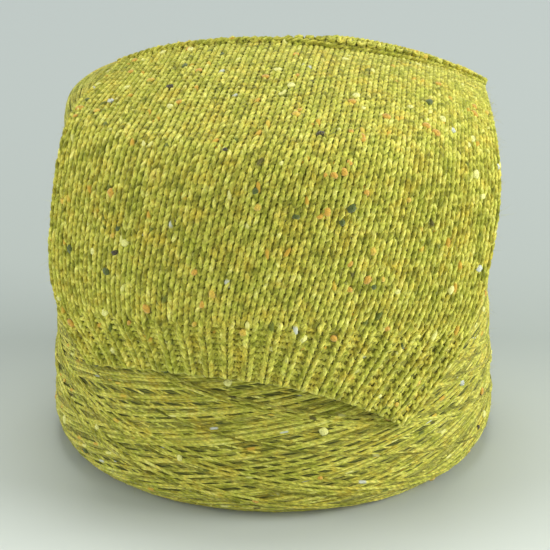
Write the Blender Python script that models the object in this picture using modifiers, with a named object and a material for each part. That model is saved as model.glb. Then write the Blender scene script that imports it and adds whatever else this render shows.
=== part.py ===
"""Cone package of tweed yarn standing on its large end, with a knitted sample draped over it.

Metres, +Z up. The origin is the centre of the flat base, on the surface that the package stands on.
The sample's ribbed hem hangs in front of the package, towards -Y.
"""
import math
from collections import namedtuple

import bpy
import numpy as np

# Wound package: driving sizes
BASE_RADIUS = 0.093
RIM_HEIGHT = 0.150
CONE_HALF_ANGLE = math.radians(3.2)
FOOT_ROUND = 0.014
RIM_ROUND = 0.006
CROWN_RISE = 0.017
CROWN_POWER = 1.6
REAR_SINK = 0.035
PACKAGE_STEPS = 60
ARC_STEPS = 4
SIDE_STEPS = 28
CROWN_STEPS = 6

# Crossing bands of the winding, raised on the side and faded out towards the foot and the rim
WIND_ANGLE = math.radians(11)
BAND_COUNT = 6
BAND_RELIEF = 0.0005
BAND_FADE = 0.016

# Knitted sample: driving sizes
SHEET_THICKNESS = 0.0028
WALE_COUNT = 41
RIB_LENGTH = 0.0245
RIB_RAISE = 0.0005
RIB_SINK = 0.0009
ROLL_WIDTH = 0.0060
ROLL_RAISE_LEFT = 0.0012
ROLL_RAISE_RIGHT = 0.0034
ROLL_VALLEY = 0.0004
ROLL_GROWS_FROM = 0.35
ROLL_GROWS_OVER = 0.20
VALLEY_END = 1.3
SPREAD = math.radians(52)

# Where the sample settles onto the crowned upper end
REST_GAP = 0.0006
SETTLE = 0.85
SETTLE_FROM = 0.084
SETTLE_FULL = 0.072

# Rows of points: shares of the rib's length, of the rolled edge's width, and steps of the body between them
RIB_ROWS = (0.0, 0.33, 0.66, 0.93, 1.1)
ROLL_ROWS = (1.25, 0.95, 0.7, 0.42, 0.15, 0.0)
BODY_STEPS = 13
PATH_STEPS = 300

# The sample's outer face, one section a row, from the ribbed hem to the cast-off edge. Each column is a point
# of the section, x, y and z in millimetres.
Section = namedtuple("Section", ("left_selvedge", "middle", "right_selvedge"))
SECTIONS = (
    Section((-76, -56, 53.0), (-11, -102.0, 67.0), (53.5, -80, 36.5)),
    Section((-81, -54, 62.0), (-10, -102.5, 77.5), (65.0, -70, 48.0)),
    Section((-87, -52, 72.5), (-9, -102.5, 88.0), (77.0, -62, 63.5)),
    Section((-91, -50, 86.0), (-6, -101.0, 101.5), (85.0, -55, 80.5)),
    Section((-92, -50, 102.5), (-2, -98.5, 116.5), (89.5, -51, 99.5)),
    Section((-90.5, -48, 120.0), (2, -95.5, 131.5), (92.0, -48, 117.0)),
    Section((-88.5, -44.5, 136.0), (6, -92.5, 146.5), (92.5, -44, 130.5)),
    Section((-84.5, -32, 150.5), (10, -84.5, 157.5), (91.5, -37, 141.5)),
    Section((-78, -8, 154.8), (15, -60.0, 167.0), (90.0, -27, 149.0)),
    Section((-70, 8, 157.0), (20, -22.0, 171.5), (88.5, -11, 153.0)),
    Section((-65, 22, 166.0), (24, 12.5, 168.7), (89.0, 23, 147.8)),
)

YARN_COLOUR = (0.38, 0.36, 0.055, 1.0)
KNIT_COLOUR = (0.42, 0.39, 0.065, 1.0)
WOOL_ROUGHNESS = 0.92


def clear_scene():
    for obj in list(bpy.data.objects):
        bpy.data.objects.remove(obj, do_unlink=True)


def make_material(name, colour):
    material = bpy.data.materials.new(name)
    material.use_nodes = True
    shader = material.node_tree.nodes["Principled BSDF"]
    shader.inputs["Base Color"].default_value = colour
    shader.inputs["Roughness"].default_value = WOOL_ROUGHNESS
    shader.inputs["Metallic"].default_value = 0.0
    return material


def make_object(name, mesh, collection, material):
    obj = bpy.data.objects.new(name, mesh)
    obj.data.materials.append(material)
    collection.objects.link(obj)
    return obj


# Wound package


def arc_points(centre_r, centre_z, radius, start, stop):
    points = []
    for step in range(ARC_STEPS + 1):
        angle = start + (stop - start) * step / ARC_STEPS
        points.append((centre_r + radius * math.cos(angle), centre_z + radius * math.sin(angle)))
    return points


# The side runs straight from the foot's round to the rim's round
FOOT_CENTRE_R = BASE_RADIUS - FOOT_ROUND
SIDE_FOOT_R = FOOT_CENTRE_R + FOOT_ROUND * math.cos(CONE_HALF_ANGLE)
SIDE_FOOT_Z = FOOT_ROUND + FOOT_ROUND * math.sin(CONE_HALF_ANGLE)
RIM_CENTRE_Z = RIM_HEIGHT - RIM_ROUND
SIDE_RIM_Z = RIM_CENTRE_Z + RIM_ROUND * math.sin(CONE_HALF_ANGLE)
SIDE_RIM_R = SIDE_FOOT_R - (SIDE_RIM_Z - SIDE_FOOT_Z) * math.tan(CONE_HALF_ANGLE)
RIM_CENTRE_R = SIDE_RIM_R - RIM_ROUND * math.cos(CONE_HALF_ANGLE)

# The crown leaves the rim's round at its own slope
CROWN_SLOPE = math.atan(CROWN_POWER * CROWN_RISE / RIM_CENTRE_R)
CROWN_R = RIM_CENTRE_R + RIM_ROUND * math.sin(CROWN_SLOPE)
CROWN_Z = RIM_CENTRE_Z + RIM_ROUND * math.cos(CROWN_SLOPE)


def crown_height(radius):
    """Height of the crowned upper end at a distance from the axis."""
    rise = math.tan(CROWN_SLOPE) * CROWN_R / CROWN_POWER
    return CROWN_Z + rise * (1 - (radius / CROWN_R) ** CROWN_POWER)


def rear_scale(y):
    """Share of the height that is left where the winding has sunk a little, towards the rear."""
    return 1 - REAR_SINK * max(0.0, y / BASE_RADIUS) ** 2


def package_profile():
    """Half outline from the top of the axis down the outer side to the base's centre."""
    points = []
    for step in range(CROWN_STEPS):
        radius = CROWN_R * step / CROWN_STEPS
        points.append((radius, crown_height(radius)))
    points += arc_points(RIM_CENTRE_R, RIM_CENTRE_Z, RIM_ROUND, math.pi / 2 - CROWN_SLOPE, CONE_HALF_ANGLE)
    for step in range(1, SIDE_STEPS):
        share = step / SIDE_STEPS
        radius = SIDE_RIM_R + (SIDE_FOOT_R - SIDE_RIM_R) * share
        points.append((radius, SIDE_RIM_Z + (SIDE_FOOT_Z - SIDE_RIM_Z) * share))
    points += arc_points(FOOT_CENTRE_R, FOOT_ROUND, FOOT_ROUND, CONE_HALF_ANGLE, -math.pi / 2)
    points.append((0.0, 0.0))
    return points


def band_relief(angle, height):
    """How far the crossing winding bands stand out of the cone at one place of the side."""
    turn_rate = 1 / (BASE_RADIUS * math.tan(WIND_ANGLE))
    rising = math.cos(BAND_COUNT * (angle - height * turn_rate))
    falling = math.cos(BAND_COUNT * (angle + height * turn_rate))
    low = min(1.0, max(0.0, (height - FOOT_ROUND) / BAND_FADE))
    high = min(1.0, max(0.0, (RIM_CENTRE_Z - height) / BAND_FADE))
    return BAND_RELIEF * low * high * max(rising, falling)


def build_package(collection):
    """Turn the profile about the axis, then push the side's points out where the bands cross."""
    profile = package_profile()
    mesh = bpy.data.meshes.new("package_profile")
    edges = [(i, i + 1) for i in range(len(profile) - 1)]
    mesh.from_pydata([(r, 0.0, z) for r, z in profile], edges, [])
    turned = bpy.data.objects.new("package_profile", mesh)
    collection.objects.link(turned)
    screw = turned.modifiers.new("turn", "SCREW")
    screw.axis = "Z"
    screw.angle = 2 * math.pi
    screw.steps = PACKAGE_STEPS
    screw.render_steps = PACKAGE_STEPS
    screw.use_merge_vertices = True
    screw.merge_threshold = 0.00005
    evaluated = turned.evaluated_get(bpy.context.evaluated_depsgraph_get())
    wound = bpy.data.meshes.new_from_object(evaluated)
    bpy.data.objects.remove(turned, do_unlink=True)
    for vertex in wound.vertices:
        x, y, z = vertex.co
        radius = math.hypot(x, y)
        if radius > 0.5 * BASE_RADIUS:
            scale = 1 + band_relief(math.atan2(y, x), z) / radius
            vertex.co.x = x * scale
            vertex.co.y = y * scale
        vertex.co.z = z * rear_scale(y)
    wound.name = "yarn_package"
    wound.materials.clear()
    package = make_object("yarn_package", wound, collection, make_material("wound_yarn", YARN_COLOUR))
    package.data.shade_smooth()
    return package


# Knitted sample


def between_sections(place):
    """The three points of a section at a place along the table, on smooth curves through the rows."""
    rows = [np.array(row, dtype=float) / 1000 for row in SECTIONS]
    last = len(rows) - 1
    index = min(int(place), last - 1)
    f = place - index
    here = rows[index]
    after = rows[index + 1]
    before = rows[index - 1] if index > 0 else 2 * here - after
    beyond = rows[index + 2] if index + 2 <= last else 2 * after - here
    return 0.5 * (2 * here + (after - before) * f + (2 * before - 5 * here + 4 * after - beyond) * f ** 2
                  + (3 * here - before - 3 * after + beyond) * f ** 3)


def outer_point(place, across):
    """A point of the sample's outer face. Across runs from -1 at the left selvedge to 1 at the right."""
    left, middle, right = between_sections(place)
    angle = across * SPREAD
    side = math.sin(angle) / math.sin(SPREAD)
    fall = (1 - math.cos(angle)) / (1 - math.cos(SPREAD))
    even = (left + right) / 2 - middle
    odd = (right - left) / 2
    x = middle[0] + odd[0] * side + even[0] * side * side
    y = middle[1] + odd[1] * side * abs(side) + even[1] * fall
    z = middle[2] + odd[2] * side + even[2] * fall
    radius = math.hypot(x, y)
    weight = min(1.0, max(0.0, (SETTLE_FROM - radius) / (SETTLE_FROM - SETTLE_FULL)))
    weight = weight * weight * (3 - 2 * weight)
    if z > RIM_CENTRE_Z and weight > 0:
        resting = crown_height(radius) * rear_scale(y) + SHEET_THICKNESS + REST_GAP
        settle = SETTLE * ((1 - across) / 2) ** 2
        z += settle * weight * (resting - z)
    return np.array((x, y, z))


def places_along():
    """Table place as a function of the distance along the sample's middle, from the hem."""
    places = np.linspace(0, len(SECTIONS) - 1, PATH_STEPS + 1)
    middle = np.array([outer_point(place, 0.0) for place in places])
    steps = np.linalg.norm(np.diff(middle, axis=0), axis=1)
    return places, np.concatenate(([0.0], np.cumsum(steps)))


def row_distances(total):
    """Distances from the hem of the sheet's rows of points: ribs, body and rolled edge."""
    ribs = [RIB_LENGTH * share for share in RIB_ROWS]
    roll = [total - ROLL_WIDTH * share for share in ROLL_ROWS]
    body = [ribs[-1] + (roll[0] - ribs[-1]) * step / BODY_STEPS for step in range(1, BODY_STEPS)]
    return ribs + body + roll


def sheet_thickness(distance, total, column):
    """Thickness of the sample at a column of points, with its ribs and rolled edge."""
    thickness = SHEET_THICKNESS
    if distance < RIB_LENGTH and column % 2 == 1:
        is_knit = (column // 2) % 2 == 0
        thickness += RIB_RAISE if is_knit else -RIB_SINK
    from_edge = (total - distance) / ROLL_WIDTH
    if from_edge < 1.0:
        across = column / (2 * WALE_COUNT)
        share = min(1.0, max(0.0, (across - ROLL_GROWS_FROM) / ROLL_GROWS_OVER))
        raise_by = ROLL_RAISE_LEFT + (ROLL_RAISE_RIGHT - ROLL_RAISE_LEFT) * share
        thickness += raise_by * math.sqrt(max(0.0, 1 - (2 * from_edge - 1) ** 2))
    elif from_edge < VALLEY_END:
        thickness -= ROLL_VALLEY
    return thickness


def build_sample(collection):
    """Lay the inner face under the outer one, then thicken it by a group of vertex weights."""
    places, distances = places_along()
    total = distances[-1]
    rows = row_distances(total)
    columns = 2 * WALE_COUNT + 1
    outer = np.zeros((len(rows), columns, 3))
    for j, distance in enumerate(rows):
        place = float(np.interp(distance, distances, places))
        for i in range(columns):
            outer[j, i] = outer_point(place, 2 * i / (columns - 1) - 1)
    normals = np.cross(np.gradient(outer, axis=1), np.gradient(outer, axis=0))
    normals /= np.linalg.norm(normals, axis=2, keepdims=True)
    inner = outer - SHEET_THICKNESS * normals

    mesh = bpy.data.meshes.new("knit_sample")
    faces = []
    for j in range(len(rows) - 1):
        for i in range(columns - 1):
            first = j * columns + i
            faces.append((first, first + 1, first + columns + 1, first + columns))
    mesh.from_pydata(inner.reshape(-1, 3).tolist(), [], faces)
    sample = make_object("knit_sample", mesh, collection, make_material("knitted_wool", KNIT_COLOUR))

    thickest = SHEET_THICKNESS + ROLL_RAISE_RIGHT
    group = sample.vertex_groups.new(name="thickness")
    for j, distance in enumerate(rows):
        for i in range(columns):
            group.add([j * columns + i], sheet_thickness(distance, total, i) / thickest, "REPLACE")
    solidify = sample.modifiers.new("thickness", "SOLIDIFY")
    solidify.thickness = thickest
    solidify.offset = 1.0
    solidify.use_even_offset = False
    solidify.vertex_group = "thickness"
    sample.data.shade_smooth()
    return sample


def main():
    clear_scene()
    collection = bpy.data.collections.new("yarn_package_with_knitted_sample")
    bpy.context.scene.collection.children.link(collection)
    build_package(collection)
    build_sample(collection)


main()
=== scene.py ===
"""Looks of the wound cone of tweed yarn and of the knitted sample that is draped over it.

Metres, +Z up, in the frame of the modelled part: its base stands on z = 0 and the sample hangs towards -Y.
"""

import math

import bpy
import numpy as np
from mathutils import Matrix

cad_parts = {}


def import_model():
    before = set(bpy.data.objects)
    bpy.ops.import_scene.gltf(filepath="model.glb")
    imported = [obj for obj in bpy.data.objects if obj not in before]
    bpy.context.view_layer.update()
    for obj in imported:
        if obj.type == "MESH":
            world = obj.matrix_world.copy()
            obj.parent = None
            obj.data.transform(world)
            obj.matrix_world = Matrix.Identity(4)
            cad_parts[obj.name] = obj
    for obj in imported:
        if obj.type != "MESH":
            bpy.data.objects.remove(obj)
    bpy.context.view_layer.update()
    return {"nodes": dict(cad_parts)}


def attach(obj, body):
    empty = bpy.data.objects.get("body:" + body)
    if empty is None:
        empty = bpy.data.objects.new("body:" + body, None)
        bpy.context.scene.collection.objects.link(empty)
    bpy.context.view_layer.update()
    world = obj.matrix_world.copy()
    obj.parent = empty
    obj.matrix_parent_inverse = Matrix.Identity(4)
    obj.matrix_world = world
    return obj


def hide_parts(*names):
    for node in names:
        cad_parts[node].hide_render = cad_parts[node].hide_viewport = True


# Wound package, as in the part
BASE_RADIUS = 0.093
RIM_HEIGHT = 0.150
CONE_HALF_ANGLE = math.radians(3.2)
FOOT_ROUND = 0.014
RIM_ROUND = 0.006
CROWN_RISE = 0.017
CROWN_POWER = 1.6
REAR_SINK = 0.035
WIND_ANGLE = math.radians(11)
BAND_COUNT = 6
BAND_RELIEF = 0.0005
BAND_FADE = 0.016
PROFILE_STEPS = 24
SLOPE_STEP = 0.0008

# Yarn on the package
YARN_WIDTH = 0.00135
YARN_RISE = 0.00080
CYCLES = (57, 83)  # runs up and down in each layer
STEPS_A_TURN = 96
LAYER_STEP = 0.00045
YARNS_A_LAYER = 200
FALLING_ON_TOP = 0.10
TURN_SHARPNESS = 0.98
FOOT_TURN = 0.0035
RIM_TURN = 0.0060
TURN_SCATTER = 0.0045
RISING_LIFT = -0.00005
RAISED_LIFT = 0.00050
SUNK_LIFT = -0.00055
LIFT_SCATTER = 0.00010
DRIFT = 0.22
SLUB = 0.12
CROWN_SWAY = (0.0016, 0.0010)
CROWN_LIFT = 0.00025
FULL_TURN = 6.28
YARN_SIDES = 4
CROWN_RINGS = 74
CROWN_RING_STEPS = 130
CROWN_INNER = 0.004
FIRST_CROWN_YARN = 500

# Knitted sample, as in the part
SHEET_THICKNESS = 0.0028
WALE_COUNT = 41
RIB_LENGTH = 0.0245
RIB_RAISE = 0.0006
RIB_SINK = 0.0007
RIB_GATHER = 0.12
SPREAD = math.radians(52)
REST_GAP = 0.0006
SETTLE = 0.85
SETTLE_FROM = 0.084
SETTLE_FULL = 0.072
PATH_STEPS = 300
SECTIONS = (
    # left selvedge, middle, right selvedge: x, y and z in millimetres, from the hem to the cast-off edge
    ((-76, -56, 53.0), (-11, -102.0, 67.0), (53.5, -80, 36.5)),
    ((-81, -54, 62.0), (-10, -102.5, 77.5), (65.0, -70, 48.0)),
    ((-87, -52, 72.5), (-9, -102.5, 88.0), (77.0, -62, 63.5)),
    ((-91, -50, 86.0), (-6, -101.0, 101.5), (85.0, -55, 80.5)),
    ((-92, -50, 102.5), (-2, -98.5, 116.5), (89.5, -51, 99.5)),
    ((-90.5, -48, 120.0), (2, -95.5, 131.5), (92.0, -48, 117.0)),
    ((-88.5, -44.5, 136.0), (6, -92.5, 146.5), (92.5, -44, 130.5)),
    ((-84.5, -32, 150.5), (10, -84.5, 157.5), (91.5, -37, 141.5)),
    ((-78, -8, 154.8), (15, -60.0, 167.0), (90.0, -27, 149.0)),
    ((-70, 8, 157.0), (20, -22.0, 171.5), (88.5, -11, 153.0)),
    ((-65, 22, 166.0), (24, 12.5, 168.7), (89.0, 23, 147.8)),
)

# Stitches
RIB_COURSES = 10
BODY_COURSES = 52
POINTS_A_STITCH = 12
TUBE_SIDES = 6
KNIT_WIDTH = 0.00185
KNIT_DEPTH = 0.00165
LOOP_DEPTH = 0.00065
LOOP_LEAN = 0.185
LOOP_REACH = 0.98
LEAN_SCATTER = 0.015
REACH_SCATTER = 0.035
DEPTH_SCATTER = 0.00008
WIDTH_SCATTER = 0.07
COURSE_NUMBER_STEP = 7.3
CHAIN_WIDTH = 0.0014
CHAIN_ALONG = 0.0005
CHAIN_THROUGH = 0.0004
CHAIN_YARNS = (901.3, 955.9)
ROLL_RADIUS_LEFT = 0.0012
ROLL_RADIUS_RIGHT = 0.0025
ROLL_LEFT = math.radians(210)
ROLL_RIGHT = math.radians(285)
ROLL_GROWS_FROM = 0.35
ROLL_GROWS_OVER = 0.20
ROLL_FADE = 0.5

# Web behind the stitches
WEB_COLUMNS = 84
WEB_ROWS = 70
WEB_SINK = 0.0001

# Fibres and knots
FIBRE_POINTS = 4
LOWEST_FIBRE = 0.0003
KNIT_FIBRE_PLACES = 14000
KNIT_FIBRES = 15000
SIDE_FIBRES = 9000
KNOTS = 110
KNOT_TURNS = 9
KNOT_LEVELS = 6
KNOT_SIZES = (0.0009, 0.0017)
KNOT_UNEVEN = 0.10

# Looks of the yarns, in metres: colour patch, nep and strand lengths, and the depth of the relief
WOUND_LOOK = {
    "patch": 0.011,
    "nep_length": 0.0045,
    "nep_share": 0.03,
    "strand_pitch": 0.0030,
    "bump": 0.0003,
}
KNITTED_LOOK = {
    "patch": 0.005,
    "nep_length": 0.0055,
    "nep_share": 0.022,
    "strand_pitch": 0.0042,
    "bump": 0.00035,
}
WEB_LOOK = {
    "patch": 0.006,
    "nep_length": 0.0055,
    "nep_share": 0.0,
    "strand_pitch": 0.0042,
    "bump": 0.00035,
}
FIBRE_LOOK = {
    "patch": 0.003,
    "nep_length": 0.004,
    "nep_share": 0.02,
    "strand_pitch": 0.003,
    "bump": 0.0001,
}
# Painted shade on the deeper layer of windings, darker than the outer layer as shade between the turns
DEEPER_PAINTED_SHADE = 0.45
# Painted shade on the turns of the crown
CROWN_PAINTED_SHADE = 0.15
# Painted shade on the web behind the stitches, which shows as darker gaps between the loops
WEB_PAINTED_SHADE = 0.6

# Camera
CAMERA_DISTANCE = 1.30
CAMERA_ELEVATION = math.radians(22.6)
TARGET_HEIGHT = 0.075
SENSOR = 36.0
LENS = 200.9
SHIFT_X = 1.5 / 550
SHIFT_Y = -12.0 / 550

# Sky
SKY = (0.86, 0.9, 0.9, 1)
SKY_STRENGTH = 0.50

random = np.random.default_rng(7)


# Package surface

FOOT_CENTRE_R = BASE_RADIUS - FOOT_ROUND
SIDE_FOOT_R = FOOT_CENTRE_R + FOOT_ROUND * math.cos(CONE_HALF_ANGLE)
SIDE_FOOT_Z = FOOT_ROUND + FOOT_ROUND * math.sin(CONE_HALF_ANGLE)
RIM_CENTRE_Z = RIM_HEIGHT - RIM_ROUND
SIDE_RIM_Z = RIM_CENTRE_Z + RIM_ROUND * math.sin(CONE_HALF_ANGLE)
SIDE_RIM_R = SIDE_FOOT_R - (SIDE_RIM_Z - SIDE_FOOT_Z) * math.tan(CONE_HALF_ANGLE)
RIM_CENTRE_R = SIDE_RIM_R - RIM_ROUND * math.cos(CONE_HALF_ANGLE)
CROWN_SLOPE = math.atan(CROWN_POWER * CROWN_RISE / RIM_CENTRE_R)
CROWN_R = RIM_CENTRE_R + RIM_ROUND * math.sin(CROWN_SLOPE)
CROWN_Z = RIM_CENTRE_Z + RIM_ROUND * math.cos(CROWN_SLOPE)


def crown_height(radius):
    """Height of the low crown at a distance from the axis."""
    rise = math.tan(CROWN_SLOPE) * CROWN_R / CROWN_POWER
    return CROWN_Z + rise * (1 - (radius / CROWN_R) ** CROWN_POWER)


def rear_scale(y):
    """Share of the height that is left where the winding has sunk a little, towards the rear."""
    return 1 - REAR_SINK * np.maximum(0, y / BASE_RADIUS) ** 2


def package_profile():
    """Half outline of the package from its base, up the side and over the rim to the axis."""
    foot = np.linspace(-math.pi / 2, CONE_HALF_ANGLE, PROFILE_STEPS)
    rim = np.linspace(CONE_HALF_ANGLE, math.pi / 2 - CROWN_SLOPE, PROFILE_STEPS)
    crown = np.linspace(CROWN_R, 0.0, PROFILE_STEPS)[1:]
    foot_radius = FOOT_CENTRE_R + FOOT_ROUND * np.cos(foot)
    foot_height = FOOT_ROUND + FOOT_ROUND * np.sin(foot)
    rim_radius = RIM_CENTRE_R + RIM_ROUND * np.cos(rim)
    rim_height = RIM_CENTRE_Z + RIM_ROUND * np.sin(rim)
    radius = np.concatenate((foot_radius, rim_radius, crown))
    height = np.concatenate((foot_height, rim_height, crown_height(crown)))
    return radius, height


PROFILE_R, PROFILE_Z = package_profile()
PROFILE_S = np.concatenate(([0.0], np.cumsum(np.hypot(np.diff(PROFILE_R), np.diff(PROFILE_Z)))))
RIM_S = PROFILE_S[2 * PROFILE_STEPS - 1]


def package_place(along, angle, lift):
    """Points at a distance along the profile, an angle round the axis and a height over the surface."""
    radius = np.interp(along, PROFILE_S, PROFILE_R)
    height = np.interp(along, PROFILE_S, PROFILE_Z)
    before, after = along - SLOPE_STEP, along + SLOPE_STEP
    slope_r = np.interp(after, PROFILE_S, PROFILE_R) - np.interp(before, PROFILE_S, PROFILE_R)
    slope_z = np.interp(after, PROFILE_S, PROFILE_Z) - np.interp(before, PROFILE_S, PROFILE_Z)
    length = np.hypot(slope_r, slope_z)
    out_r, out_z = slope_z / length, -slope_r / length
    turn_rate = 1 / (BASE_RADIUS * math.tan(WIND_ANGLE))
    rising = np.cos(BAND_COUNT * (angle - height * turn_rate))
    falling = np.cos(BAND_COUNT * (angle + height * turn_rate))
    fade = np.clip((height - FOOT_ROUND) / BAND_FADE, 0, 1)
    fade = fade * np.clip((RIM_CENTRE_Z - height) / BAND_FADE, 0, 1)
    lift = lift + BAND_RELIEF * fade * np.maximum(rising, falling)
    radius = radius + out_r * lift
    x, y = radius * np.cos(angle), radius * np.sin(angle)
    points = np.stack((x, y, (height + out_z * lift) * rear_scale(y)), axis=-1)
    outward = np.stack((out_r * np.cos(angle), out_r * np.sin(angle), out_z), axis=-1)
    return points, outward


# Sample surface


def between_sections(place):
    """Smooth curve through the sections at places counted from the hem, with three points at each place."""
    rows = np.array(SECTIONS, dtype=float) / 1000
    table = np.concatenate((2 * rows[:1] - rows[1:2], rows, 2 * rows[-1:] - rows[-2:-1]))
    index = np.clip(place.astype(int), 0, len(rows) - 2)
    f = (place - index)[:, None, None]
    before, here, after, beyond = table[index], table[index + 1], table[index + 2], table[index + 3]
    return 0.5 * (2 * here + (after - before) * f + (2 * before - 5 * here + 4 * after - beyond) * f ** 2
                  + (3 * here - before - 3 * after + beyond) * f ** 3)


def outer_points(place, across):
    """Points of the sample's outer face. Across runs from -1 at the left selvedge to 1 at the right."""
    sections = between_sections(place)
    left, middle, right = sections[:, 0], sections[:, 1], sections[:, 2]
    angle = across * SPREAD
    side = np.sin(angle) / math.sin(SPREAD)
    fall = (1 - np.cos(angle)) / (1 - math.cos(SPREAD))
    even = (left + right) / 2 - middle
    odd = (right - left) / 2
    x = middle[:, 0] + odd[:, 0] * side + even[:, 0] * side * side
    y = middle[:, 1] + odd[:, 1] * side * np.abs(side) + even[:, 1] * fall
    z = middle[:, 2] + odd[:, 2] * side + even[:, 2] * fall
    radius = np.hypot(x, y)
    weight = np.clip((SETTLE_FROM - radius) / (SETTLE_FROM - SETTLE_FULL), 0, 1)
    weight = np.where(z > RIM_CENTRE_Z, weight * weight * (3 - 2 * weight), 0)
    resting = crown_height(radius) * rear_scale(y) + SHEET_THICKNESS + REST_GAP
    settle = SETTLE * ((1 - across) / 2) ** 2
    return np.stack((x, y, z + settle * weight * (resting - z)), axis=-1)


PLACES = np.linspace(0, len(SECTIONS) - 1, PATH_STEPS + 1)
MIDDLE = outer_points(PLACES, np.zeros_like(PLACES))
DISTANCES = np.concatenate(([0.0], np.cumsum(np.linalg.norm(np.diff(MIDDLE, axis=0), axis=1))))
CLOTH_LENGTH = DISTANCES[-1]


def unit(vectors):
    """Vectors at length one."""
    return vectors / np.maximum(np.linalg.norm(vectors, axis=-1, keepdims=True), 1e-12)


def cloth_frame(distance, across):
    """Middle of the sample's thickness with its outward normal and its direction up the cloth."""
    def outer(d, a):
        return outer_points(np.interp(d, DISTANCES, PLACES), a)

    step_up, step_across = 0.0006, 0.01
    above = np.minimum(distance + step_up, CLOTH_LENGTH)
    below = np.maximum(distance - step_up, 0)
    up = unit(outer(above, across) - outer(below, across))
    sideways = unit(outer(distance, across + step_across) - outer(distance, across - step_across))
    normal = unit(np.cross(sideways, up))
    return outer(distance, across) - normal * SHEET_THICKNESS / 2, normal, up


def roll_shape(across):
    """Where the rolled edge starts along the cloth, its radius and the angle it turns through."""
    share = np.clip(((across + 1) / 2 - ROLL_GROWS_FROM) / ROLL_GROWS_OVER, 0, 1)
    share = share * share * (3 - 2 * share)
    fading = 1 - ROLL_FADE * np.clip((across - 0.1) / 0.9, 0, 1)
    radius = (ROLL_RADIUS_LEFT + (ROLL_RADIUS_RIGHT - ROLL_RADIUS_LEFT) * share) * fading
    radius = radius * (0.4 + 0.6 * np.clip((1 + across) / 0.2, 0, 1))
    return CLOTH_LENGTH - radius - KNIT_DEPTH / 2, radius, ROLL_LEFT + (ROLL_RIGHT - ROLL_LEFT) * share


def knit_place(along, across, depth):
    """Points along the cloth, across it and through it, with the rolled edge curled forwards."""
    start, radius, _ = roll_shape(across)
    turn = np.maximum(along - start, 0) / radius
    middle, normal, up = cloth_frame(np.minimum(along, start), across)
    front = normal * np.cos(turn)[:, None] - up * np.sin(turn)[:, None]
    forwards = normal * (radius * (1 - np.cos(turn)))[:, None]
    upwards = up * (radius * np.sin(turn))[:, None]
    return middle + forwards + upwards + front * depth[:, None], front


# Mesh making


def make_piece(name, made, material):
    """A shown piece from its points, faces and fibre coordinates."""
    points, faces, fibre = made
    mesh = bpy.data.meshes.new(name)
    mesh.from_pydata(points.tolist(), [], faces.tolist())
    attribute = mesh.attributes.new("fibre", "FLOAT_VECTOR", "POINT")
    attribute.data.foreach_set("vector", np.ascontiguousarray(fibre, dtype=np.float32).ravel())
    mesh.shade_smooth()
    mesh.materials.append(material)
    piece = bpy.data.objects.new(name, mesh)
    bpy.context.scene.collection.objects.link(piece)
    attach(piece, "root")
    return piece


def tubes(lines, outward, width, height, sides, closed, number):
    """Points, faces and fibre coordinates of yarns that run along rows of points.

    lines and outward are (yarns, points, 3), width and height are (yarns, points), and each yarn has its
    number. The fibre coordinates are the length along the yarn, the share of the way round and the number.
    """
    yarns, count = lines.shape[:2]
    along = unit(np.gradient(lines, axis=1))
    sideways = unit(np.cross(along, outward))
    up = np.cross(sideways, along)
    if closed:
        around = np.linspace(0, 1, sides, endpoint=False)
        angles = 2 * math.pi * around - math.pi / 2
    else:
        around = np.linspace(0, 1, sides)
        angles = math.pi * (0.04 + 0.92 * around)
    ring = (np.cos(angles)[:, None] * (width / 2)[..., None, None] * sideways[:, :, None]
            + np.sin(angles)[:, None] * (height / 2)[..., None, None] * up[:, :, None])
    points = (lines[:, :, None] + ring).reshape(-1, 3)
    steps = np.linalg.norm(np.diff(lines, axis=1), axis=2)
    length = np.concatenate((np.zeros((yarns, 1)), np.cumsum(steps, axis=1)), axis=1)
    coordinates = np.broadcast_arrays(length[..., None], around[None, None], number[:, None, None])
    fibre = np.stack(coordinates, axis=-1)
    spans = sides if closed else sides - 1
    y, p, s = np.meshgrid(np.arange(yarns), np.arange(count - 1), np.arange(spans), indexing="ij")
    first = (y * count + p) * sides
    after = (s + 1) % sides
    faces = np.stack((first + s, first + after, first + sides + after, first + sides + s), axis=-1)
    return points, faces.reshape(-1, 4), fibre.reshape(-1, 3)


def join(parts):
    """Several sets of points, faces and fibre coordinates as one."""
    start, points, faces, fibres = 0, [], [], []
    for part_points, part_faces, part_fibre in parts:
        points.append(part_points)
        faces.append(part_faces + start)
        fibres.append(part_fibre)
        start += len(part_points)
    return np.concatenate(points), np.concatenate(faces), np.concatenate(fibres)


# Wound yarn


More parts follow.
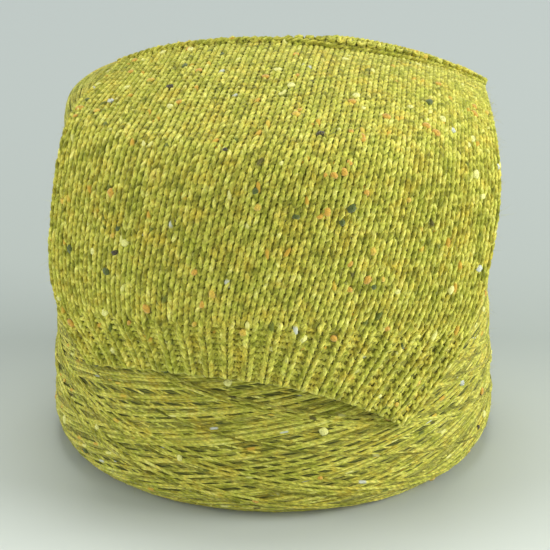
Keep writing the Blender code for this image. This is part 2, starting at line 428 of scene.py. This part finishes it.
def wound_layer(layer):
    """One yarn that runs up and down the side in helices, with rounded turns at the foot and the rim."""
    side = RIM_S - RIM_TURN - FOOT_TURN
    mean_radius = (SIDE_FOOT_R + SIDE_RIM_R) / 2
    turns_a_cycle = 2 * side / (2 * math.pi * mean_radius * math.tan(WIND_ANGLE))
    cycles = CYCLES[layer]
    turns_a_cycle = (round(turns_a_cycle * cycles) + 1) / cycles
    steps = int(turns_a_cycle * STEPS_A_TURN)
    phase = np.linspace(0, 2 * math.pi, steps + 1)
    lines, outs = [], []
    foot = FOOT_TURN + random.random(cycles + 1) ** 1.5 * TURN_SCATTER
    rim = RIM_S - RIM_TURN - random.random(cycles + 1) ** 1.5 * TURN_SCATTER
    rising_lift = random.normal(RISING_LIFT, LIFT_SCATTER, cycles)
    on_top = random.random(cycles) < FALLING_ON_TOP
    falling_lift = np.where(on_top, RAISED_LIFT, SUNK_LIFT) + random.normal(0, LIFT_SCATTER, cycles)
    drift = random.normal(0, DRIFT * YARN_WIDTH / mean_radius / math.tan(WIND_ANGLE), cycles)
    wave = np.arcsin(TURN_SHARPNESS * np.cos(phase)) / math.asin(TURN_SHARPNESS)
    share = (1 - wave) / 2
    rising = np.clip(0.5 + 2.5 * np.sin(phase), 0, 1)
    for cycle in range(cycles):
        low = np.where(phase < math.pi, foot[cycle], foot[cycle + 1])
        along = low + (rim[cycle] - low) * share
        angle = 2 * math.pi * turns_a_cycle * cycle + turns_a_cycle * phase + drift[cycle]
        lift = falling_lift[cycle] + (rising_lift[cycle] - falling_lift[cycle]) * rising
        lift = lift - LAYER_STEP * layer
        points, out = package_place(along, angle, lift)
        lines.append(points)
        outs.append(out)
    slub = 1 + SLUB * np.sin(np.linspace(0, 900, steps + 1)[None] + random.random((cycles, 1)) * 6)
    number = YARNS_A_LAYER * layer + np.arange(cycles) + random.random(cycles)
    lines, outs = np.array(lines), np.array(outs)
    return tubes(lines, outs, YARN_WIDTH * slub, 2 * YARN_RISE * slub, YARN_SIDES, False, number)


def crown_rings():
    """Arcs of the turns that show on the upper end, each a little off the circle."""
    crown = PROFILE_S[-1] - RIM_S
    lines, outs, numbers = [], [], []
    for ring in range(CROWN_RINGS):
        share = (ring + 0.5) / CROWN_RINGS
        along = PROFILE_S[-1] - CROWN_INNER - (crown + RIM_ROUND * 1.2 - CROWN_INNER) * share
        angle = np.linspace(0, 2 * math.pi, CROWN_RING_STEPS + 1) + random.random() * FULL_TURN
        sway = CROWN_SWAY[0] * np.sin(angle + random.random() * FULL_TURN)
        sway = sway + CROWN_SWAY[1] * np.sin(2 * angle + random.random() * FULL_TURN)
        lift = CROWN_LIFT * np.sin(3 * angle + random.random() * FULL_TURN)
        points, out = package_place(along + sway * share, angle, lift)
        lines.append(points)
        outs.append(out)
        numbers.append(FIRST_CROWN_YARN + ring + random.random())
    lines, outs, numbers = np.array(lines), np.array(outs), np.array(numbers)
    size = np.ones(lines.shape[:2])
    return tubes(lines, outs, YARN_WIDTH * 1.1 * size, 2 * YARN_RISE * size, YARN_SIDES, False, numbers)


# Knitted loops


def knit_courses(first, last):
    """The yarn of each course as loops that interlock, with ribs along the hem."""
    columns = WALE_COUNT * POINTS_A_STITCH + 1
    phase = np.linspace(-math.pi, (2 * WALE_COUNT - 1) * math.pi, columns)
    stitch = np.clip(((phase + math.pi) / (2 * math.pi)).astype(int), 0, WALE_COUNT - 1)
    lines, outs, numbers, widths = [], [], [], []
    for course in range(first, last):
        lean = LOOP_LEAN + random.normal(0, LEAN_SCATTER, WALE_COUNT)[stitch]
        wale = 0.5 + phase / (2 * math.pi) + lean * np.sin(2 * phase)
        across = np.clip(2 * wale / WALE_COUNT - 1, -1, 1)
        in_rib = course < RIB_COURSES
        if in_rib:
            pitch = RIB_LENGTH / RIB_COURSES
            along = pitch * (course + 0.55)
        else:
            start, radius, turn = roll_shape(across)
            pitch = (start + radius * turn - RIB_LENGTH) / BODY_COURSES
            along = RIB_LENGTH + pitch * (course - RIB_COURSES + 0.5)
        reach = LOOP_REACH * (1 + random.normal(0, REACH_SCATTER, WALE_COUNT)[stitch])
        along = along + pitch * reach * np.cos(phase)
        depth = -LOOP_DEPTH * np.cos(2 * phase) + random.normal(0, DEPTH_SCATTER, WALE_COUNT)[stitch]
        if in_rib:
            face = np.clip(1.7 * np.sin(math.pi * wale), -1, 1)
            depth = depth * face + np.where(face > 0, RIB_RAISE, RIB_SINK) * face
            across = across - 2 * RIB_GATHER / WALE_COUNT * np.cos(math.pi * wale)
        points, front = knit_place(np.maximum(along, 0.0002), across, depth)
        lines.append(points)
        outs.append(front)
        numbers.append(course + random.random())
        widths.append(1 + random.normal(0, WIDTH_SCATTER, WALE_COUNT)[stitch])
    lines, outs = np.array(lines), np.array(outs)
    widths = np.array(widths)
    smooth = (np.roll(widths, 1, 1) + 2 * widths + np.roll(widths, -1, 1)) / 4
    number = np.array(numbers) * COURSE_NUMBER_STEP
    return tubes(lines, outs, KNIT_WIDTH * smooth, KNIT_DEPTH * smooth, TUBE_SIDES, True, number)


def cast_off_chain():
    """Two strands that wind round each other along the cast-off edge."""
    count = WALE_COUNT * 10 + 1
    across = np.linspace(-1, 1, count)
    phase = np.linspace(0, 2 * math.pi * WALE_COUNT * 0.75, count)
    start, radius, turned = roll_shape(across)
    end = start + radius * turned
    lines, outs = [], []
    for strand in range(2):
        turn = phase + math.pi * strand
        points, front = knit_place(end + CHAIN_ALONG * np.sin(turn), across, CHAIN_THROUGH * np.cos(turn))
        lines.append(points)
        outs.append(front)
    size = CHAIN_WIDTH * np.ones((2, count))
    return tubes(np.array(lines), np.array(outs), size, size, TUBE_SIDES, True, np.array(CHAIN_YARNS))


def backing_sheet():
    """The thin web behind the loops."""
    across = np.linspace(-0.985, 0.985, WEB_COLUMNS)
    along = np.linspace(0.001, CLOTH_LENGTH - ROLL_RADIUS_RIGHT, WEB_ROWS)
    across, along = [grid.ravel() for grid in np.meshgrid(across, along)]
    middle, normal, _ = cloth_frame(along, across)
    points = middle - normal * WEB_SINK
    j, i = np.meshgrid(np.arange(WEB_ROWS - 1), np.arange(WEB_COLUMNS - 1), indexing="ij")
    first = (j * WEB_COLUMNS + i).ravel()
    faces = np.stack((first, first + 1, first + WEB_COLUMNS + 1, first + WEB_COLUMNS), axis=-1)
    fibre = np.stack((along, (across + 1) * 20, np.full(len(along), 3.3)), axis=-1)
    return points, faces, fibre


# Loose fibres


def fuzz(points, outward, length, width, count, lie, number):
    """Short bent fibres that stand off the yarn. lie is how flat they lie, from 0 to 1."""
    pick = random.integers(0, len(points), count)
    start, out = points[pick], outward[pick]
    direction = unit(unit(random.normal(0, 1, (count, 3))) + out * (1.1 - lie))
    bend = unit(random.normal(0, 1, (count, 3)))
    reach = length * (0.4 + random.random(count) ** 2 * 1.2)[:, None]
    t = np.linspace(0, 1, FIBRE_POINTS)[None, :, None]
    lines = start[:, None] + reach[:, None] * (direction[:, None] * t + 0.5 * bend[:, None] * t * t)
    across = unit(np.cross(np.gradient(lines, axis=1), bend[:, None] + out[:, None] * 0.3))
    half = width / 2 * (1 - 0.7 * t)
    ring = np.stack((lines - across * half, lines + across * half), axis=2)
    y, p = np.meshgrid(np.arange(count), np.arange(FIBRE_POINTS - 1), indexing="ij")
    first = (y * FIBRE_POINTS + p) * 2
    faces = np.stack((first, first + 1, first + 3, first + 2), axis=-1).reshape(-1, 4)
    fibre = np.stack(np.broadcast_arrays(t * 0.004, 0.5, (number + pick * 0.013)[:, None, None]), axis=-1)
    fibre = np.repeat(fibre.reshape(count, FIBRE_POINTS, 1, 3), 2, axis=2)
    return ring.reshape(-1, 3), faces, fibre.reshape(-1, 3)


def neps(places, outward, number):
    """Soft round knots of coloured wool, each a flattened ball with an uneven outline."""
    turns, levels = KNOT_TURNS, KNOT_LEVELS
    around = np.linspace(0, 2 * math.pi, turns, endpoint=False)
    around, height = np.meshgrid(around, np.linspace(0, math.pi, levels))
    count = len(places)
    side = unit(np.cross(outward, random.normal(0, 1, (count, 3))))
    other = np.cross(outward, side)
    size = random.uniform(*KNOT_SIZES, (count, 1, 1, 1))
    lumpy = 1 + random.normal(0, KNOT_UNEVEN, (count, levels, turns, 1))
    ring = np.sin(height)[None, :, :, None]
    points = places[:, None, None] + size * lumpy * (
        ring * np.cos(around)[None, :, :, None] * side[:, None, None] * 1.25
        + ring * np.sin(around)[None, :, :, None] * other[:, None, None]
        + np.cos(height)[None, :, :, None] * outward[:, None, None] * 0.6)
    n, j, i = np.meshgrid(np.arange(count), np.arange(levels - 1), np.arange(turns), indexing="ij")
    first = (n * levels + j) * turns
    after = (i + 1) % turns
    faces = np.stack((first + i, first + turns + i, first + turns + after, first + after), axis=-1)
    knot = (number + np.arange(count))[:, None, None]
    fibre = np.stack(np.broadcast_arrays(height[None] * 0.001, around[None] / FULL_TURN, knot), axis=-1)
    return points.reshape(-1, 3), faces.reshape(-1, 4), fibre.reshape(-1, 3)


# Materials


class Nodes:
    """A short way of adding and linking shader nodes."""

    def __init__(self, name):
        self.material = bpy.data.materials.new(name)
        self.material.use_nodes = True
        self.tree = self.material.node_tree
        self.shader = self.tree.nodes["Principled BSDF"]

    def add(self, kind, inputs=None, **settings):
        node = self.tree.nodes.new(kind)
        for key, value in settings.items():
            setattr(node, key, value)
        for key, value in (inputs or {}).items():
            if isinstance(value, bpy.types.NodeSocket):
                self.tree.links.new(value, node.inputs[key])
            else:
                node.inputs[key].default_value = value
        return node

    def math(self, operation, first, second=0.0):
        node = self.add("ShaderNodeMath", {0: first, 1: second}, operation=operation)
        return node.outputs[0]

    def mix(self, share, first, second, blend="MIX"):
        inputs = {0: share, 6: first, 7: second}
        node = self.add("ShaderNodeMix", inputs, data_type="RGBA", blend_type=blend)
        return node.outputs[2]

    def ramp(self, value, stops, interpolation="LINEAR"):
        node = self.add("ShaderNodeValToRGB", {0: value})
        node.color_ramp.interpolation = interpolation
        elements = node.color_ramp.elements
        while len(elements) < len(stops):
            elements.new(0.5)
        for element, (position, colour) in zip(elements, stops):
            element.position = position
            element.color = colour
        return node.outputs[0]


def srgb(red, green, blue):
    """A colour of 0 to 255 a channel as the shader's linear values."""
    values = [c / 255 for c in (red, green, blue)]
    return tuple(c / 12.92 if c <= 0.04045 else ((c + 0.055) / 1.055) ** 2.4 for c in values) + (1.0,)


DEEP = srgb(108, 111, 34)
OLIVE = srgb(154, 153, 53)
MUSTARD = srgb(197, 194, 80)
LIME = srgb(217, 214, 104)
LEMON = srgb(234, 231, 140)
GREEN_CAST = srgb(176, 200, 96)
OCHRE_CAST = srgb(255, 214, 120)
WHITE = (1, 1, 1, 1)
# Darkest colour that the painted shade mixes towards
SHADE = (0.02, 0.018, 0.002, 1)
WOOL_STOPS = ((0.25, DEEP), (0.40, OLIVE), (0.52, MUSTARD), (0.64, LIME), (0.78, LEMON))
CAST_STOPS = ((0.36, GREEN_CAST), (0.5, WHITE), (0.66, OCHRE_CAST))
FINE_STOPS = ((0.3, (0.68, 0.68, 0.64, 1)), (0.7, (1.32, 1.31, 1.34, 1)))
STRAND_STOPS = ((0.0, (0.8, 0.8, 0.75, 1)), (0.5, (1.1, 1.1, 1.1, 1)))
KNOT_STOPS = ((0.3, (0.75, 0.75, 0.7, 1)), (0.7, (1.25, 1.25, 1.2, 1)))
# Colours of the deeper layers, darker than the wool: painted shade between the turns
UNDER_SHADE_STOPS = ((0.2, srgb(66, 70, 20)), (0.8, srgb(112, 114, 38)))
# Floor colours from front to rear: the band just behind the object and the darker rear are painted shade
FLOOR_SHADE_STOPS = (
    (0.0, srgb(220, 225, 217)),
    (0.15, srgb(210, 216, 208)),
    (0.4, srgb(164, 172, 166)),
    (1.0, srgb(186, 194, 191)),
)
NEP_STOPS = (
    (0.0, srgb(212, 166, 62)),
    (0.34, srgb(232, 230, 140)),
    (0.60, srgb(82, 96, 38)),
    (0.76, srgb(220, 188, 72)),
    (0.88, srgb(204, 210, 200)),
    (0.94, srgb(66, 60, 36)),
)


def wool(name, patch, nep_length, nep_share, strand_pitch, bump, painted_shade=0.0):
    """Heathered tweed yarn: colour patches along the yarn, twisted strands, fine fibres and rare neps.

    patch, nep_length and strand_pitch are lengths along the yarn, bump is the depth of the relief, and the
    last argument is the share of painted shade mixed into the colour.
    """
    nodes = Nodes(name)
    fibre = nodes.add("ShaderNodeAttribute", attribute_name="fibre").outputs["Vector"]
    split = nodes.add("ShaderNodeSeparateXYZ", {0: fibre})
    along, around, number = split.outputs
    far = nodes.math("MULTIPLY", number, 13.7)
    patch_along = nodes.math("DIVIDE", along, patch)
    patch_place = nodes.add("ShaderNodeCombineXYZ", {0: patch_along, 1: around, 2: far})
    patch_noise = {"Vector": patch_place.outputs[0], "Scale": 1.0, "Detail": 3.0, "Roughness": 0.6}
    patches = nodes.add("ShaderNodeTexNoise", patch_noise)
    colour = nodes.ramp(patches.outputs[0], WOOL_STOPS)

    cast_place = nodes.add("ShaderNodeTexCoord").outputs["Object"]
    broad_noise = {"Vector": cast_place, "Scale": 110.0, "Detail": 4.0, "Roughness": 0.8}
    broad = nodes.add("ShaderNodeTexNoise", broad_noise)
    cast = nodes.ramp(broad.outputs[0], CAST_STOPS)
    colour = nodes.mix(0.45, colour, cast, "MULTIPLY")

    fine_along = nodes.math("MULTIPLY", along, 900.0)
    fine_around = nodes.math("MULTIPLY", around, 9.0)
    fine_place = nodes.add("ShaderNodeCombineXYZ", {0: fine_along, 1: fine_around, 2: far})
    fine = nodes.add("ShaderNodeTexNoise", {"Vector": fine_place.outputs[0], "Scale": 1.0, "Detail": 2.0})
    fine_tone = nodes.ramp(fine.outputs[0], FINE_STOPS)
    colour = nodes.mix(1.0, colour, fine_tone, "MULTIPLY")

    twist = nodes.math("ADD", nodes.math("DIVIDE", along, strand_pitch), around)
    strands = nodes.math("SINE", nodes.math("MULTIPLY", twist, 2 * math.pi))
    strand_tone = nodes.ramp(nodes.math("MULTIPLY_ADD", strands, 0.5), STRAND_STOPS)
    colour = nodes.mix(0.8, colour, strand_tone, "MULTIPLY")

    cell = nodes.math("ADD", nodes.math("DIVIDE", along, nep_length), nodes.math("MULTIPLY", number, 3.1))
    cell_corner = {0: nodes.math("FLOOR", cell), 1: nodes.math("FLOOR", far)}
    cell_place = nodes.add("ShaderNodeCombineXYZ", cell_corner)
    cells = nodes.add("ShaderNodeTexWhiteNoise", {"Vector": cell_place.outputs[0]}, noise_dimensions="3D")
    is_nep = nodes.math("GREATER_THAN", cells.outputs["Value"], 1 - nep_share)
    within = nodes.math("PINGPONG", cell, 0.5)
    soft_end = nodes.add("ShaderNodeMapRange", {0: within, 1: 0.06, 2: 0.26, 4: 0.85}).outputs[0]
    is_nep = nodes.math("MULTIPLY", is_nep, soft_end)
    kind = nodes.add("ShaderNodeSeparateXYZ", {0: cells.outputs["Color"]}).outputs[1]
    colour = nodes.mix(is_nep, colour, nodes.ramp(kind, NEP_STOPS, "CONSTANT"))
    # Painted shade: the colour is mixed towards SHADE by the given share.
    if painted_shade:
        colour = nodes.mix(painted_shade, colour, SHADE)

    height = nodes.math("ADD", nodes.math("MULTIPLY", strands, 0.5), fine.outputs[0])
    relief = nodes.add("ShaderNodeBump", {"Height": height, "Strength": 0.7, "Distance": bump})
    nodes.tree.links.new(colour, nodes.shader.inputs["Base Color"])
    nodes.tree.links.new(relief.outputs[0], nodes.shader.inputs["Normal"])
    nodes.shader.inputs["Roughness"].default_value = 0.88
    nodes.shader.inputs["Specular IOR Level"].default_value = 0.2
    nodes.shader.inputs["Sheen Weight"].default_value = 0.35
    nodes.shader.inputs["Sheen Roughness"].default_value = 0.45
    nodes.shader.inputs["Sheen Tint"].default_value = (0.85, 0.85, 0.45, 1)
    return nodes.material


def nep_wool():
    """Wool of the knots: one colour each, with fine fibres."""
    nodes = Nodes("nep_wool")
    fibre = nodes.add("ShaderNodeAttribute", attribute_name="fibre").outputs["Vector"]
    number = nodes.add("ShaderNodeSeparateXYZ", {0: fibre}).outputs[2]
    knot = nodes.add("ShaderNodeTexWhiteNoise", {"W": nodes.math("ROUND", number)}, noise_dimensions="1D")
    colour = nodes.ramp(knot.outputs["Value"], NEP_STOPS, "CONSTANT")
    place = nodes.add("ShaderNodeTexCoord").outputs["Object"]
    fine = nodes.add("ShaderNodeTexNoise", {"Vector": place, "Scale": 2200.0, "Detail": 2.0})
    tone = nodes.ramp(fine.outputs[0], KNOT_STOPS)
    relief = nodes.add("ShaderNodeBump", {"Height": fine.outputs[0], "Strength": 0.8, "Distance": 0.0004})
    nodes.tree.links.new(nodes.mix(1.0, colour, tone, "MULTIPLY"), nodes.shader.inputs["Base Color"])
    nodes.tree.links.new(relief.outputs[0], nodes.shader.inputs["Normal"])
    nodes.shader.inputs["Roughness"].default_value = 0.92
    nodes.shader.inputs["Sheen Weight"].default_value = 0.3
    return nodes.material


def painted_shade_under_wool():
    """The deeper layers of yarn that show between the outer turns, coloured darker than the wool as painted
    shade in the gaps.
    """
    nodes = Nodes("under_layers_painted_shade")
    place = nodes.add("ShaderNodeTexCoord").outputs["Object"]
    bands = {"Vector": place, "Scale": 260.0, "Distortion": 2.0, "Detail": 2.0}
    wave = nodes.add("ShaderNodeTexWave", bands, bands_direction="Z")
    colour = nodes.ramp(wave.outputs["Fac"], UNDER_SHADE_STOPS)
    bump = {"Height": wave.outputs["Fac"], "Strength": 0.6, "Distance": 0.0005}
    relief = nodes.add("ShaderNodeBump", bump)
    nodes.tree.links.new(colour, nodes.shader.inputs["Base Color"])
    nodes.tree.links.new(relief.outputs[0], nodes.shader.inputs["Normal"])
    nodes.shader.inputs["Roughness"].default_value = 0.95
    return nodes.material


def floor_material():
    """Pale floor whose colour darkens behind the object as painted shade."""
    nodes = Nodes("pale_floor_painted_shade")
    place = nodes.add("ShaderNodeTexCoord").outputs["Object"]
    towards_rear = nodes.add("ShaderNodeSeparateXYZ", {0: place}).outputs[1]
    share = nodes.add("ShaderNodeMapRange", {0: towards_rear, 1: -0.35, 2: 0.75}).outputs[0]
    colour = nodes.ramp(share, FLOOR_SHADE_STOPS)
    nodes.tree.links.new(colour, nodes.shader.inputs["Base Color"])
    nodes.shader.inputs["Roughness"].default_value = 0.8
    return nodes.material


# Stage


def add_floor():
    half = 3.0
    corners = [(-half, -half, 0), (half, -half, 0), (half, half, 0), (-half, half, 0)]
    mesh = bpy.data.meshes.new("floor")
    mesh.from_pydata(corners, [], [(0, 1, 2, 3)])
    mesh.materials.append(floor_material())
    floor = bpy.data.objects.new("floor", mesh)
    bpy.context.scene.collection.objects.link(floor)


def add_light(name, place, target, size, power):
    """A square lamp that is aimed at a target."""
    data = bpy.data.lights.new(name, "AREA")
    data.shape = "SQUARE"
    data.size = size
    data.energy = power
    lamp = bpy.data.objects.new(name, data)
    lamp.location = place
    aim = np.array(target) - np.array(place)
    pitch = math.atan2(math.hypot(aim[0], aim[1]), -aim[2])
    lamp.rotation_euler = (pitch, 0, math.atan2(-aim[0], aim[1]))
    bpy.context.scene.collection.objects.link(lamp)


def add_camera():
    data = bpy.data.cameras.new("camera")
    data.sensor_width = SENSOR
    data.lens = LENS
    data.shift_x = SHIFT_X
    data.shift_y = SHIFT_Y
    camera = bpy.data.objects.new("camera", data)
    camera.location = (0, -CAMERA_DISTANCE * math.cos(CAMERA_ELEVATION),
                       TARGET_HEIGHT + CAMERA_DISTANCE * math.sin(CAMERA_ELEVATION))
    camera.rotation_euler = (math.pi / 2 - CAMERA_ELEVATION, 0, 0)
    bpy.context.scene.collection.objects.link(camera)
    bpy.context.scene.camera = camera


def add_world():
    world = bpy.data.worlds.new("studio")
    world.use_nodes = True
    background = world.node_tree.nodes["Background"]
    background.inputs["Color"].default_value = SKY
    background.inputs["Strength"].default_value = SKY_STRENGTH
    bpy.context.scene.world = world
    bpy.context.scene.view_settings.view_transform = "Standard"


def dress_package(frame):
    """Deeper layers on the modelled package, coloured with painted shade, with the wound yarn over them."""
    wound = wool("wound_wool", **WOUND_LOOK)
    # The second, deeper layer of windings is darkened as painted shade.
    deeper = wool("wound_wool_deeper_painted_shade", **WOUND_LOOK, painted_shade=DEEPER_PAINTED_SHADE)
    # The crown turns are darkened a little as painted shade.
    shaded = wool("wound_wool_crown_painted_shade", **WOUND_LOOK, painted_shade=CROWN_PAINTED_SHADE)
    under = painted_shade_under_wool()
    package = frame["nodes"]["yarn_package"]
    package.data.materials.clear()
    package.data.materials.append(under)
    for layer, material in enumerate((wound, deeper)):
        make_piece(f"windings_{layer}", wound_layer(layer), material)
    make_piece("crown_windings", crown_rings(), shaded)


def dress_sample():
    """The courses of stitches in three pieces, and the web behind them that replaces the sample, darkened
    as painted shade between the loops.
    """
    knitted = wool("knitted_wool_look", **KNITTED_LOOK)
    # The web is darkened as painted shade between the loops.
    web = wool("knit_web_painted_shade", **WEB_LOOK, painted_shade=WEB_PAINTED_SHADE)
    total = RIB_COURSES + BODY_COURSES
    cuts = [0, total // 3, 2 * total // 3, total]
    for part in range(3):
        made = knit_courses(cuts[part], cuts[part + 1])
        if part == 2:
            made = join((made, cast_off_chain()))
        make_piece(f"knit_courses_{part}", made, knitted)
    sheet = make_piece("knit_web_painted_shade", backing_sheet(), web)
    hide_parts("knit_sample")


def add_fuzz():
    """Loose fibres over the sample and round the package, none of them under the floor."""
    loose = wool("loose_fibres", **FIBRE_LOOK)
    across = random.uniform(-1, 1, KNIT_FIBRE_PLACES)
    along = random.uniform(0.0, CLOTH_LENGTH + 0.002, KNIT_FIBRE_PLACES)
    places, front = knit_place(along, across, np.full(KNIT_FIBRE_PLACES, KNIT_DEPTH * 0.8))
    knit_fuzz = fuzz(places, front, length=0.0030, width=0.00006, count=KNIT_FIBRES, lie=0.6, number=40.0)
    angle = random.uniform(0, 2 * math.pi, SIDE_FIBRES)
    along = random.uniform(0.003, RIM_S + 0.02, SIDE_FIBRES)
    places, out = package_place(along, angle, np.full(SIDE_FIBRES, YARN_RISE * 0.8))
    side_fuzz = fuzz(places, out, length=0.0024, width=0.00005, count=SIDE_FIBRES, lie=0.7, number=90.0)
    points, faces, fibre = join((knit_fuzz, side_fuzz))
    points[:, 2] = np.maximum(points[:, 2], LOWEST_FIBRE)
    make_piece("loose_fibres", (points, faces, fibre), loose)


def add_neps():
    """Knots of coloured wool, as many on the sample as round the package."""
    across = random.uniform(-0.98, 0.98, KNOTS)
    along = random.uniform(0.002, CLOTH_LENGTH - 0.006, KNOTS)
    places, front = knit_place(along, across, np.full(KNOTS, KNIT_DEPTH * 0.55))
    on_knit = neps(places, front, 0)
    angle = random.uniform(0, 2 * math.pi, KNOTS)
    along = random.uniform(0.004, RIM_S, KNOTS)
    places, out = package_place(along, angle, np.full(KNOTS, YARN_RISE * 0.7))
    on_side = neps(places, out, 400)
    make_piece("neps", join((on_knit, on_side)), nep_wool())


def main():
    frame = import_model()
    dress_package(frame)
    dress_sample()
    add_fuzz()
    add_neps()
    add_floor()
    add_light("overhead", (0.0, 0.30, 1.45), (0, 0, 0.05), 0.7, 11)
    add_light("right_side", (1.4, -0.25, 0.55), (0, 0, 0.08), 0.9, 20)
    add_light("left_side", (-1.4, -0.25, 0.5), (0, 0, 0.08), 0.9, 9)
    add_light("front", (0.1, -1.6, 0.55), (0, 0, 0.05), 0.7, 4)
    add_camera()
    add_world()


main()
